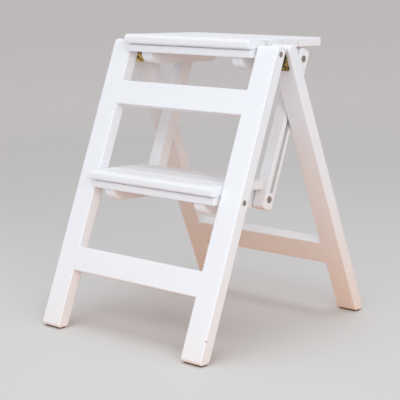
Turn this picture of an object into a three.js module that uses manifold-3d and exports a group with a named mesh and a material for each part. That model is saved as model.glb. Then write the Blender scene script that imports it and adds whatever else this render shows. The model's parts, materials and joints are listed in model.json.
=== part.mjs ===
import * as THREE from 'three';
import { mergeVertices } from 'three/addons/utils/BufferGeometryUtils.js';
import Module from 'manifold-3d';

// Folding two-step wooden stool. Millimetres, +Z up, the front faces -Y, +X is to the right.
// Two leaning frames meet at brass butt hinges. The treads swing up on the front legs, a pair of
// side bars keeps them parallel, and a pin in each bar's groove draws the rear frame in.

const wasm = await Module();
wasm.setup();

// Driving dimensions of the whole stool
const overallHeight = 466.5;
const overallWidth = 352;
const frontLean = THREE.MathUtils.degToRad(22.35);
const rearLean = THREE.MathUtils.degToRad(21.4);
const treadTilt = THREE.MathUtils.degToRad(2.5);
const foldAngle = THREE.MathUtils.degToRad(60);

// Clearances
const jointGap = 0.3;
const runningGap = 0.4;
const legToTreadGap = 1;
const legToLinkGap = 1.5;
const cutOverrun = 2;

// Legs
const frontLegWidth = 41;
const rearLegWidth = 38.5;
const rearLegSetIn = 1.5;
const legThickness = 20.5;
const legTopBelowTread = 10.5;
const legTopRadius = 8;
const footRadius = 5;
const padThickness = 2;
const padEdgeInset = 3;

// Rails, mortised into the legs
const railHeight = 40;
const railEdgeRadius = 2;
const frontRailThickness = 17;
const rearRailThickness = 20;
const upperRailBelowHinge = 89.5;
const lowerRailBelowHinge = 372;
const rearRailBelowHinge = 370.5;
const tenonThickness = 9;
const tenonHeight = 28;
const tenonLength = 16;

// Treads, measured from their pivot
const pivotBelowHinge = 9;
const pivotSpacing = 231;
const upperPivotBelowTop = 21.8;
const lowerPivotBelowTop = 21.1;
const boardThickness = 14;
const nosingThickness = 15;
const boardEdgeRadius = 2.5;
const boardGap = 3;
const noseOverhang = 27;
const noseRadius = 6.5;
const nosingDepth = 42.5;
const slatDepth = 36.5;
const rearBoardDepth = 55;
const apronHeight = 13.1;
const apronDepth = 25;
const apronSetback = 7.7;
const apronEndInset = 1.8;

// Bearers under the boards
const bearerWidth = 22;
const bearerHeight = 32.8;
const bearerFrontRadius = 17;
const bearerRearRadius = 16;
const upperBearerSetback = 16;
const lowerBearerSetback = 12;
const bearerRearInset = 0.5;
const lowerBearerBeyondBolt = 15.5;

// Side bars and their bolts
const linkWidth = 22.5;
const linkDepth = 23;
const linkEndLength = 16.5;
const linkEndRadius = 7;
const boltBehindPivot = 109.5;
const boltBelowPivot = 11.8;
const boltRadius = 3;
const boltHeadRadius = 4.8;
const boltHeadThickness = 2.5;
const boltRecessDepth = 4.5;
const socketRadiusShare = 0.46;
const socketDepthShare = 0.55;
const bearerWallAtBolt = 4;
const washerThickness = 1.4;
const washerRadius = 8;

// Groove and pin that draw the rear frame in
const grooveOffset = 1;
const grooveDepth = 9;
const slotPinRadius = 3.3;
const slotPinEndGap = 0.6;

// Tread pivot screws
const pivotScrewRadius = 2.5;
const pivotHeadRadius = 3.6;
const pivotHeadThickness = 2.4;
const pivotRecessDepth = 4;
const pivotScrewInApron = 30;

// Brass butt hinges
const hingeLength = 20.5;
const hingeOutset = 1.2;
const leafDrop = 34;
const leafThickness = 1.8;
const leafCornerRadius = 4;
const knuckleRadius = 3.9;
const knuckleCount = 5;
const hingePinRadius = 1.9;
const hingePinOverhang = 0.6;
const hingeHoleRadius = 1.7;
const hingeSinkRadius = 3.1;
const hingeHoleDrops = [14.5, 26.5];

// Facets of round shapes
const arcSteps = 5;
const boreSides = 20;

// Derived sizes
const halfWidth = overallWidth / 2;
const innerFace = halfWidth - frontLegWidth;
const rearOuterFace = halfWidth - rearLegSetIn;
const rearInnerFace = rearOuterFace - rearLegWidth;
const hingeMiddle = halfWidth - frontLegWidth / 2 + hingeOutset;
const treadHalfWidth = innerFace - legToTreadGap;
const linkOuter = innerFace - legToLinkGap;
const linkInner = linkOuter - linkWidth;
const bearerOuter = linkInner - washerThickness - 2 * jointGap;
const bearerInner = bearerOuter - bearerWidth;
const hingeToLeg = knuckleRadius + jointGap;
const legCentre = hingeToLeg + legThickness / 2;
const legBottom = padThickness + jointGap;
const legTop = overallHeight - legTopBelowTread;
const grooveHalfWidth = slotPinRadius + jointGap;

// The treads drop a little towards the rear, so the nosing's top edge is the highest line.
const noseRise = (noseOverhang - noseRadius) * Math.sin(treadTilt);
const upperPivotHeight = overallHeight - upperPivotBelowTop * Math.cos(treadTilt) - noseRise;

// The upper pivot lies at the leg's mid thickness, pivotBelowHinge down the leg from the hinge pin.
const pivotRise = legCentre * Math.sin(frontLean) - pivotBelowHinge * Math.cos(frontLean);
const hingeHeight = upperPivotHeight - pivotRise;

const paint = { color: 0xeef0f4, roughness: 0.42, metalness: 0 };
const brass = { color: 0xb98a3a, roughness: 0.3, metalness: 1 };
const steel = { color: 0x8b8c90, roughness: 0.35, metalness: 1 };
const nylon = { color: 0xe6e4dc, roughness: 0.5, metalness: 0 };
const felt = { color: 0x4a3324, roughness: 0.95, metalness: 0 };

// Solids

function toSolid(geometry) {
  const bare = geometry.clone();
  bare.deleteAttribute('normal');
  bare.deleteAttribute('uv');
  const merged = mergeVertices(bare);
  const vertProperties = new Float32Array(merged.attributes.position.array);
  const triVerts = new Uint32Array(merged.index.array);
  return new wasm.Manifold(new wasm.Mesh({ numProp: 3, vertProperties, triVerts }));
}

function toGeometry(solid) {
  const mesh = solid.getMesh();
  const geometry = new THREE.BufferGeometry();
  geometry.setAttribute('position', new THREE.BufferAttribute(new Float32Array(mesh.vertProperties), 3));
  geometry.setIndex(new THREE.BufferAttribute(new Uint32Array(mesh.triVerts), 1));
  geometry.computeVertexNormals();
  return geometry;
}

function cut(geometry, ...tools) {
  return toGeometry(tools.reduce((solid, tool) => solid.subtract(toSolid(tool)), toSolid(geometry)));
}

function join(geometry, ...others) {
  return toGeometry(others.reduce((solid, other) => solid.add(toSolid(other)), toSolid(geometry)));
}

// An outline from corners [a, b, radius], with an arc at each corner that has a radius.
function outline(corners) {
  const shape = new THREE.Shape();
  corners.forEach(([a, b, radius], index) => {
    const corner = new THREE.Vector2(a, b);
    if (!radius) {
      if (index) shape.lineTo(a, b);
      else shape.moveTo(a, b);
      return;
    }
    const before = corners[(index + corners.length - 1) % corners.length];
    const after = corners[(index + 1) % corners.length];
    const back = new THREE.Vector2(before[0], before[1]).sub(corner).normalize();
    const ahead = new THREE.Vector2(after[0], after[1]).sub(corner).normalize();
    const halfAngle = Math.acos(THREE.MathUtils.clamp(back.dot(ahead), -1, 1)) / 2;
    const bisector = back.clone().add(ahead).normalize();
    const centre = corner.clone().addScaledVector(bisector, radius / Math.sin(halfAngle));
    const reach = radius / Math.tan(halfAngle);
    const start = corner.clone().addScaledVector(back, reach).sub(centre);
    const end = corner.clone().addScaledVector(ahead, reach).sub(centre);
    if (index) shape.lineTo(centre.x + start.x, centre.y + start.y);
    else shape.moveTo(centre.x + start.x, centre.y + start.y);
    const turn = back.x * ahead.y - back.y * ahead.x;
    shape.absarc(centre.x, centre.y, radius, start.angle(), end.angle(), turn > 0);
  });
  shape.closePath();
  return shape;
}

// A groove's outline: straight sides between two round ends.
function slotShape(y, radius, fromZ, toZ) {
  const shape = new THREE.Shape();
  shape.absarc(y, toZ, radius, 0, Math.PI, false);
  shape.absarc(y, fromZ, radius, Math.PI, 2 * Math.PI, false);
  shape.closePath();
  return shape;
}

// A bar whose section is drawn in the side plane (first axis Y, second axis Z), run along X.
function barAlongX(shape, fromX, toX) {
  const geometry = new THREE.ExtrudeGeometry(shape, {
    depth: toX - fromX, bevelEnabled: false, steps: 1, curveSegments: arcSteps,
  });
  const sidePlane = new THREE.Matrix4().makeBasis(
    new THREE.Vector3(0, 1, 0), new THREE.Vector3(0, 0, 1), new THREE.Vector3(1, 0, 0));
  geometry.applyMatrix4(sidePlane);
  geometry.translate(fromX, 0, 0);
  return geometry;
}

function block(fromX, toX, fromY, toY, fromZ, toZ) {
  const geometry = new THREE.BoxGeometry(toX - fromX, toY - fromY, toZ - fromZ);
  geometry.translate((fromX + toX) / 2, (fromY + toY) / 2, (fromZ + toZ) / 2);
  return geometry;
}

function rodAlongX(radius, fromX, toX, y, z) {
  const geometry = new THREE.CylinderGeometry(radius, radius, toX - fromX, boreSides);
  geometry.rotateZ(-Math.PI / 2);
  geometry.translate((fromX + toX) / 2, y, z);
  return geometry;
}

// A turned piece: profile points [radius, distance along the axis], turned about Y.
function turned(profile) {
  const points = profile.map(([radius, along]) => new THREE.Vector2(radius, along));
  return new THREE.LatheGeometry(points, boreSides);
}

function rectangle(fromY, toY, fromZ, toZ, radius = 0) {
  return outline([[fromY, fromZ, radius], [toY, fromZ, radius], [toY, toZ, radius], [fromY, toZ, radius]]);
}

// Mirrored runs of X for a piece on the left (side -1) or the right (side 1)
function span(side, inner, outer) {
  return side > 0 ? [inner, outer] : [-outer, -inner];
}

const sides = [['left', -1], ['right', 1]];
const stool = new THREE.Group();

function place(parent, name, geometry, finish) {
  const mesh = new THREE.Mesh(geometry, new THREE.MeshStandardMaterial(finish));
  mesh.name = name;
  parent.add(mesh);
  return mesh;
}

function pivotGroup(parent, y, z, turn) {
  const group = new THREE.Group();
  group.position.set(0, y, z);
  group.rotation.x = turn;
  parent.add(group);
  return group;
}

// Both frames share the hinge pin as their origin: Y runs square to the legs, Z along them.
const frontFrame = pivotGroup(stool, 0, hingeHeight, -frontLean);
const rearFrame = pivotGroup(stool, 0, hingeHeight, rearLean);

// Height along a leg at which the level plane z = height cuts the line at depth y of a frame
function levelCut(height, y, turn) {
  return (height - hingeHeight - y * Math.sin(turn)) / Math.cos(turn);
}

function legOutline(fromY, toY, turn) {
  return outline([
    [fromY, levelCut(legBottom, fromY, turn), footRadius],
    [toY, levelCut(legBottom, toY, turn), footRadius],
    [toY, levelCut(legTop, toY, turn), legTopRadius],
    [fromY, levelCut(legTop, fromY, turn), legTopRadius],
  ]);
}

// Tread pivots in the front frame's own axes
const pivotDepth = -legCentre;
const pivotLevels = [-pivotBelowHinge, -pivotBelowHinge - pivotSpacing];

// Rails: a body between the legs with a stub tenon at each end
const frontRailFace = -hingeToLeg - legThickness;
const rearRailFace = hingeToLeg;

function tenonDepths(faceY, thickness) {
  const middle = faceY + thickness / 2;
  return [middle - tenonThickness / 2, middle + tenonThickness / 2];
}

function rail(faceY, thickness, level, legFace) {
  const shoulder = legFace - jointGap;
  const half = railHeight / 2;
  const section = rectangle(faceY, faceY + thickness, level - half, level + half, railEdgeRadius);
  const body = barAlongX(section, -shoulder, shoulder);
  const [tenonFront, tenonRear] = tenonDepths(faceY, thickness);
  const reach = legFace + tenonLength;
  const halfTenon = tenonHeight / 2;
  const tenons = block(-reach, reach, tenonFront, tenonRear, level - halfTenon, level + halfTenon);
  return join(body, tenons);
}

function mortise(side, faceY, thickness, level, legFace) {
  const [fromX, toX] = span(side, legFace - cutOverrun, legFace + tenonLength + jointGap);
  const [tenonFront, tenonRear] = tenonDepths(faceY, thickness);
  const halfHeight = tenonHeight / 2 + jointGap;
  const [fromY, toY] = [tenonFront - jointGap, tenonRear + jointGap];
  return block(fromX, toX, fromY, toY, level - halfHeight, level + halfHeight);
}

function frontLeg(side) {
  const [fromX, toX] = span(side, innerFace, halfWidth);
  const body = barAlongX(legOutline(frontRailFace, -hingeToLeg, -frontLean), fromX, toX);
  const cuts = [
    mortise(side, frontRailFace, frontRailThickness, -upperRailBelowHinge, innerFace),
    mortise(side, frontRailFace, frontRailThickness, -lowerRailBelowHinge, innerFace),
  ];
  for (const level of pivotLevels) {
    const [holeFrom, holeTo] = span(side, innerFace - cutOverrun, halfWidth + cutOverrun);
    const [recessFrom, recessTo] = span(side, halfWidth - pivotRecessDepth, halfWidth + cutOverrun);
    cuts.push(rodAlongX(pivotScrewRadius + runningGap, holeFrom, holeTo, pivotDepth, level));
    cuts.push(rodAlongX(pivotHeadRadius + runningGap, recessFrom, recessTo, pivotDepth, level));
  }
  return cut(body, ...cuts);
}

function rearLeg(side) {
  const [fromX, toX] = span(side, rearInnerFace, rearOuterFace);
  const body = barAlongX(legOutline(hingeToLeg, hingeToLeg + legThickness, rearLean), fromX, toX);
  return cut(body, mortise(side, rearRailFace, rearRailThickness, -rearRailBelowHinge, rearInnerFace));
}

// Pads under the flat of each foot, laid level
function footPad(side, inner, outer, fromY, toY, turn) {
  const [flatFrom, flatTo] = footFlat(fromY, toY, turn);
  const [fromX, toX] = span(side, inner + padEdgeInset, outer - padEdgeInset);
  return block(fromX, toX, flatFrom, flatTo, 0, padThickness);
}

// Level run of a foot between the rounded corners, as world Y
function footFlat(fromY, toY, turn) {
  const worldY = (y) => y * Math.cos(turn) - levelCut(legBottom, y, turn) * Math.sin(turn);
  const frontAngle = Math.PI / 2 + turn;
  const rearAngle = Math.PI / 2 - turn;
  return [
    worldY(fromY) + footRadius / Math.tan(frontAngle / 2),
    worldY(toY) - footRadius / Math.tan(rearAngle / 2),
  ];
}

// Hinge leaf with its knuckles; facing is -1 for the front leg's leaf and 1 for the rear leg's
function hingeLeaf(side, facing, firstKnuckle) {
  const start = side * hingeMiddle - hingeLength / 2;
  const pitch = hingeLength / knuckleCount;
  const outerY = facing * knuckleRadius;
  const innerY = facing * (knuckleRadius - leafThickness);
  const [fromY, toY] = [innerY, outerY].sort((a, b) => a - b);
  let leaf = leafPlate(start, fromY, toY);
  const reliefRadius = knuckleRadius + jointGap;
  for (let index = 0; index < knuckleCount; index += 1) {
    const from = start + index * pitch;
    const own = index % 2 === firstKnuckle;
    if (own) {
      const trimFrom = index ? from + jointGap / 2 : from;
      const trimTo = index < knuckleCount - 1 ? from + pitch - jointGap / 2 : from + pitch;
      leaf = join(leaf, rodAlongX(knuckleRadius, trimFrom, trimTo, 0, 0));
    } else {
      const reliefFrom = index ? from - jointGap / 2 : from - cutOverrun;
      const reliefTo = index < knuckleCount - 1 ? from + pitch + jointGap / 2 : from + pitch + cutOverrun;
      leaf = cut(leaf, rodAlongX(reliefRadius, reliefFrom, reliefTo, 0, 0));
    }
  }
  const boreEnds = [start - cutOverrun, start + hingeLength + cutOverrun];
  const bore = rodAlongX(hingePinRadius + jointGap, ...boreEnds, 0, 0);
  return cut(leaf, bore, ...leafHoles(side, facing));
}

// Screw holes of a leaf, countersunk from the face that closes on the other leaf
function leafHoles(side, facing) {
  const faceY = facing * (knuckleRadius - leafThickness);
  return hingeHoleDrops.map((drop) => {
    const hole = turned([
      [0, -cutOverrun],
      [hingeSinkRadius, -cutOverrun],
      [hingeSinkRadius, 0],
      [hingeHoleRadius, leafThickness],
      [hingeHoleRadius, leafThickness + cutOverrun],
      [0, leafThickness + cutOverrun],
    ]);
    if (facing < 0) hole.rotateX(Math.PI);
    hole.translate(side * hingeMiddle, faceY, -drop);
    return hole;
  });
}

// The flat of a leaf, its two free corners rounded. Its outline is drawn with X across and Z up.
function leafPlate(start, fromY, toY) {
  const end = start + hingeLength;
  const face = outline([
    [start, -leafDrop, leafCornerRadius],
    [end, -leafDrop, leafCornerRadius],
    [end, 0, 0],
    [start, 0, 0],
  ]);
  const plate = new THREE.ExtrudeGeometry(face, {
    depth: toY - fromY, bevelEnabled: false, steps: 1, curveSegments: arcSteps,
  });
  plate.rotateX(Math.PI / 2);
  plate.translate(0, toY, 0);
  return plate;
}

// Front frame, rear frame and hinges
for (const [name, side] of sides) {
  place(frontFrame, `front_leg_${name}`, frontLeg(side), paint);
  place(rearFrame, `rear_leg_${name}`, rearLeg(side), paint);
  place(frontFrame, `hinge_front_leaf_${name}`, hingeLeaf(side, -1, 0), brass);
  place(rearFrame, `hinge_rear_leaf_${name}`, hingeLeaf(side, 1, 1), brass);
  const pinHalf = hingeLength / 2 + hingePinOverhang;
  const pinMiddle = side * hingeMiddle;
  const hingePin = rodAlongX(hingePinRadius, pinMiddle - pinHalf, pinMiddle + pinHalf, 0, 0);
  place(frontFrame, `hinge_pin_${name}`, hingePin, brass);
  const frontPad = footPad(side, innerFace, halfWidth, frontRailFace, -hingeToLeg, -frontLean);
  const rearBack = hingeToLeg + legThickness;
  const rearPad = footPad(side, rearInnerFace, rearOuterFace, hingeToLeg, rearBack, rearLean);
  place(stool, `foot_pad_front_${name}`, frontPad, felt);
  place(stool, `foot_pad_rear_${name}`, rearPad, felt);
}
const frontRails = [['front_upper_rail', upperRailBelowHinge], ['front_lower_rail', lowerRailBelowHinge]];
for (const [name, drop] of frontRails) {
  place(frontFrame, name, rail(frontRailFace, frontRailThickness, -drop, innerFace), paint);
}
const rearRail = rail(rearRailFace, rearRailThickness, -rearRailBelowHinge, rearInnerFace);
place(rearFrame, 'rear_rail', rearRail, paint);

// Boards of a tread, in the tread's own axes: the pivot is the origin
const noseFront = -noseOverhang;
const apronFront = noseFront + apronSetback;
const apronHalfWidth = treadHalfWidth - apronEndInset;

function boardEdges(count, lastDepth) {
  const edges = [[noseFront, noseFront + nosingDepth]];
  for (let index = 0; index < count; index += 1) {
    const from = edges[index][1] + boardGap;
    edges.push([from, from + slatDepth]);
  }
  if (lastDepth) {
    const from = edges[count][1] + boardGap;
    edges.push([from, from + lastDepth]);
  }
  return edges;
}

function board(edge, top, isNosing) {
  const [from, to] = edge;
  const bottom = top - (isNosing ? nosingThickness : boardThickness);
  const frontRadius = isNosing ? noseRadius : boardEdgeRadius;
  const underRadius = boardEdgeRadius / 2;
  const section = outline([
    [from, bottom, isNosing ? noseRadius : underRadius],
    [to, bottom, underRadius],
    [to, top, boardEdgeRadius],
    [from, top, frontRadius],
  ]);
  return barAlongX(section, -treadHalfWidth, treadHalfWidth);
}

function apron(top) {
  const section = rectangle(apronFront, apronFront + apronDepth, top - apronHeight, top, boardEdgeRadius / 2);
  const body = barAlongX(section, -apronHalfWidth, apronHalfWidth);
  const depth = treadHalfWidth - pivotScrewInApron - jointGap;
  const bores = sides.map(([, side]) => {
    const [from, to] = span(side, depth, treadHalfWidth + cutOverrun);
    return rodAlongX(pivotScrewRadius + jointGap, from, to, 0, 0);
  });
  return cut(body, ...bores);
}

// Bearer on edge, stepped down at the front for the thicker nosing and the apron, with its bolt bore
function bearer(side, top, nosingStep, frontEnd, rearEnd) {
  const nosingBack = noseFront + nosingDepth + boardGap / 2;
  const notchFloor = nosingStep - apronHeight - jointGap;
  const notchBack = apronFront + apronDepth + jointGap;
  const bottom = top - bearerHeight;
  const corners = [
    [frontEnd, bottom, bearerFrontRadius],
    [rearEnd, bottom, bearerRearRadius],
    [rearEnd, top, boardEdgeRadius],
    [nosingBack, top, 0],
    [nosingBack, nosingStep, 0],
    [notchBack, nosingStep, 0],
    [notchBack, notchFloor, 0],
    [frontEnd, notchFloor, 0],
  ];
  const [fromX, toX] = span(side, bearerInner, bearerOuter);
  const [boreFrom, boreTo] = span(side, bearerInner + bearerWallAtBolt, bearerOuter + cutOverrun);
  const bore = rodAlongX(boltRadius + jointGap, boreFrom, boreTo, boltBehindPivot, -boltBelowPivot);
  return cut(barAlongX(outline(corners), fromX, toX), bore);
}

// A screw or bolt along X with its head outwards and a six-sided socket in the head
function headedPin(side, tipX, headX, headRadius, headThickness, shankRadius) {
  const [shankFrom, shankTo] = span(side, tipX, headX - headThickness / 2);
  const [headFrom, headTo] = span(side, headX - headThickness, headX);
  const shank = rodAlongX(shankRadius, shankFrom, shankTo, 0, 0);
  const head = rodAlongX(headRadius, headFrom, headTo, 0, 0);
  const socketRadius = headRadius * socketRadiusShare;
  const [socketFrom, socketTo] = span(side, headX - headThickness * socketDepthShare, headX + cutOverrun);
  const socket = new THREE.CylinderGeometry(socketRadius, socketRadius, socketTo - socketFrom, 6);
  socket.rotateZ(-Math.PI / 2);
  socket.translate((socketFrom + socketTo) / 2, 0, 0);
  return cut(join(head, shank), socket);
}

function linkBolt(side) {
  const tip = bearerInner + bearerWallAtBolt + jointGap;
  const head = linkOuter - boltRecessDepth + jointGap + boltHeadThickness;
  const bolt = headedPin(side, tip, head, boltHeadRadius, boltHeadThickness, boltRadius);
  bolt.translate(0, boltBehindPivot, -boltBelowPivot);
  return bolt;
}

function washer(side) {
  const [from, to] = span(side, bearerOuter + jointGap, linkInner - jointGap);
  const ring = cut(
    rodAlongX(washerRadius, from, to, 0, 0),
    rodAlongX(boltRadius + jointGap, from - cutOverrun, to + cutOverrun, 0, 0),
  );
  ring.translate(0, boltBehindPivot, -boltBelowPivot);
  return ring;
}

function pivotScrew(side) {
  const tip = treadHalfWidth - pivotScrewInApron;
  const head = halfWidth - pivotRecessDepth + runningGap + pivotHeadThickness;
  return headedPin(side, tip, head, pivotHeadRadius, pivotHeadThickness, pivotScrewRadius);
}

// World place of a point of the front frame
function fromFront(y, z) {
  return {
    y: y * Math.cos(frontLean) + z * Math.sin(frontLean),
    z: hingeHeight - y * Math.sin(frontLean) + z * Math.cos(frontLean),
  };
}

const treads = [
  {
    name: 'upper', level: pivotLevels[0], top: upperPivotBelowTop, slats: 2, rearDepth: rearBoardDepth,
    bearerSetback: upperBearerSetback,
  },
  {
    name: 'lower', level: pivotLevels[1], top: lowerPivotBelowTop, slats: 2, rearDepth: 0,
    bearerSetback: lowerBearerSetback,
  },
];

for (const tread of treads) {
  const pivot = fromFront(pivotDepth, tread.level);
  const group = pivotGroup(stool, pivot.y, pivot.z, -treadTilt);
  const edges = boardEdges(tread.slats, tread.rearDepth);
  edges.forEach((edge, index) => {
    const label = index ? `board_${index + 1}` : 'nosing';
    place(group, `${tread.name}_${label}`, board(edge, tread.top, index === 0), paint);
  });
  const bearerTop = tread.top - boardThickness - jointGap;
  const apronTop = tread.top - nosingThickness - jointGap;
  place(group, `${tread.name}_apron`, apron(apronTop), paint);
  const frontEnd = noseFront + tread.bearerSetback;
  const rearEnd = tread.rearDepth
    ? edges[edges.length - 1][1] - bearerRearInset
    : boltBehindPivot + lowerBearerBeyondBolt;
  for (const [name, side] of sides) {
    place(group, `${tread.name}_bearer_${name}`, bearer(side, bearerTop, apronTop, frontEnd, rearEnd), paint);
    place(group, `${tread.name}_link_bolt_${name}`, linkBolt(side), steel);
    place(group, `${tread.name}_link_washer_${name}`, washer(side), nylon);
    place(group, `${tread.name}_pivot_screw_${name}`, pivotScrew(side), steel);
  }
}

// Side bars hang from the upper tread's bolts, parallel to the front legs. Their own axes start there.
const treadTurn = frontLean - treadTilt;
const turnShares = { cos: Math.cos(treadTurn), sin: Math.sin(treadTurn) };
const linkDepthLine = pivotDepth + boltBehindPivot * turnShares.cos + boltBelowPivot * turnShares.sin;
const linkTopLevel = pivotLevels[0] + boltBehindPivot * turnShares.sin - boltBelowPivot * turnShares.cos;
const linkTop = fromFront(linkDepthLine, linkTopLevel);
const grooveLine = linkDepthLine + grooveOffset;

// The pin sits at the rear leg's mid thickness, where its line crosses the groove with the stool open.
const opening = frontLean + rearLean;
const pinDown = (grooveLine - legCentre * Math.cos(opening)) / Math.sin(opening);
const pinOpenLevel = legCentre * Math.sin(opening) - pinDown * Math.cos(opening);

// With the stool folded, the tread bolts have swung to these places in the front frame's axes.
const boltReach = { y: linkDepthLine - pivotDepth, z: linkTopLevel - pivotLevels[0] };
const foldedY = boltReach.y * Math.cos(foldAngle) - boltReach.z * Math.sin(foldAngle);
const foldedZ = boltReach.y * Math.sin(foldAngle) + boltReach.z * Math.cos(foldAngle);
const foldedGroove = pivotDepth + foldedY + grooveOffset;
const pinReach = Math.hypot(legCentre, pinDown);
const foldedOpening = Math.asin(foldedGroove / pinReach) - Math.atan2(legCentre, pinDown);
const pinFoldedLevel = legCentre * Math.sin(foldedOpening) - pinDown * Math.cos(foldedOpening);

// Pin places along the bar, measured from its upper bolt
const pinOpen = pinOpenLevel - linkTopLevel;
const pinFolded = pinFoldedLevel - (pivotLevels[0] + foldedZ);

function link(side) {
  const half = linkDepth / 2;
  const section = rectangle(-half, half, -pivotSpacing - linkEndLength, linkEndLength, linkEndRadius);
  const [fromX, toX] = span(side, linkInner, linkOuter);
  const cuts = [];
  for (const level of [0, -pivotSpacing]) {
    const [holeFrom, holeTo] = span(side, linkInner - cutOverrun, linkOuter + cutOverrun);
    const [recessFrom, recessTo] = span(side, linkOuter - boltRecessDepth, linkOuter + cutOverrun);
    cuts.push(rodAlongX(boltRadius + runningGap, holeFrom, holeTo, 0, level));
    cuts.push(rodAlongX(boltHeadRadius + runningGap, recessFrom, recessTo, 0, level));
  }
  const [grooveFrom, grooveTo] = span(side, linkOuter - grooveDepth, linkOuter + cutOverrun);
  const groove = slotShape(grooveOffset, grooveHalfWidth, pinFolded, pinOpen);
  cuts.push(barAlongX(groove, grooveFrom, grooveTo));
  return cut(barAlongX(section, fromX, toX), ...cuts);
}

const linkGroup = pivotGroup(stool, linkTop.y, linkTop.z, -frontLean);
for (const [name, side] of sides) {
  place(linkGroup, `link_${name}`, link(side), paint);
  const [pinFrom, pinTo] = span(side, linkOuter - grooveDepth + slotPinEndGap, rearInnerFace - jointGap);
  const pin = rodAlongX(slotPinRadius, pinFrom, pinTo, grooveOffset, pinOpen);
  place(linkGroup, `slot_pin_${name}`, pin, steel);
}

// The origin is the middle of the footprint, on the floor.
const footprint = new THREE.Box3().setFromObject(stool, true);
stool.position.y = -(footprint.min.y + footprint.max.y) / 2;

export default stool;
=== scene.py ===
import json
import math

import bmesh
import bpy
from bpy.props import FloatProperty, FloatVectorProperty, PointerProperty
from mathutils import Matrix, Vector


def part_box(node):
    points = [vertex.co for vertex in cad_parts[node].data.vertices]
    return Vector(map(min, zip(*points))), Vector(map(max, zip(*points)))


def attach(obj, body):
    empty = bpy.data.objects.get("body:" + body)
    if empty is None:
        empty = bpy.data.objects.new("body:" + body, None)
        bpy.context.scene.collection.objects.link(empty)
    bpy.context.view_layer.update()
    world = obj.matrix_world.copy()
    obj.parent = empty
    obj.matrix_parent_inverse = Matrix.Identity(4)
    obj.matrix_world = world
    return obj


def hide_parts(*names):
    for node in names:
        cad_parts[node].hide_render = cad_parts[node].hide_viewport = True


bl_info = {
    "name": "Folding Step Stool",
    "version": (1, 0, 0),
    "blender": (4, 5, 0),
    "location": "3D View > Sidebar > Stool",
    "description": "Dresses a folding two-step wooden stool on its packed frame",
    "category": "Object",
}

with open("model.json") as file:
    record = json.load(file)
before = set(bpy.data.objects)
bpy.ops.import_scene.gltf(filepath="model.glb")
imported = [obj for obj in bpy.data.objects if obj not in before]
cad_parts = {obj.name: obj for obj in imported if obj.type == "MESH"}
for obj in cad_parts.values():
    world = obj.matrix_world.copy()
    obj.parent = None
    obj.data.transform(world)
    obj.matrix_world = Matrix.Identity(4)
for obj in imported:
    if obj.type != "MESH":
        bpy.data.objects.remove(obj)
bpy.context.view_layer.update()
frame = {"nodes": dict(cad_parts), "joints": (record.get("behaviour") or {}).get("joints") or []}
places = {joint["name"]: Vector(joint["pos_m"]) for joint in frame["joints"] if "pos_m" in joint}

MM = 0.001
SHARP = 0.05 * MM  # rounding of a corner that is left sharp
LIP = 0.4 * MM  # broken edge round a hole or a groove
OVERRUN = 2 * MM  # how far a cutter reaches past a face
SNUG = 0.1 * MM  # how much narrower a hole in a tread is than the one before it
SIDES = (("left", -1), ("right", 1))
TREADS = ("upper", "lower")


def length(label, text, millimetres):
    """A length that a user may change, shown in the scene's unit."""
    return FloatProperty(name=label, description=text, default=millimetres * MM, min=0,
                         subtype="DISTANCE", unit="LENGTH", precision=4)


def measure(what, kind, millimetres):
    """A length of one kind, such as the height or the rounding of a named piece."""
    return length(f"{what} {kind}", f"{kind.capitalize()} of the {what.lower()}", millimetres)


def tint(label, text, value):
    """A colour that a user may change."""
    return FloatVectorProperty(name=label, description=text, default=value, min=0, max=1,
                               size=3, subtype="COLOR")


def share(label, text, value, most=1.0):
    """A plain number that a user may change."""
    return FloatProperty(name=label, description=text, default=value, min=0, max=most)


def angle(label, text, degrees):
    """An angle that a user may change."""
    return FloatProperty(name=label, description=text, default=math.radians(degrees),
                         subtype="ANGLE", unit="ROTATION")


def power(label, text, watts):
    """A lamp's power that a user may change."""
    return FloatProperty(name=label, description=text, default=watts, min=0, unit="POWER")


def spot(label, text, value):
    """A place that a user may change."""
    return FloatVectorProperty(name=label, description=text, default=value, size=3,
                               subtype="XYZ", unit="LENGTH")


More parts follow.
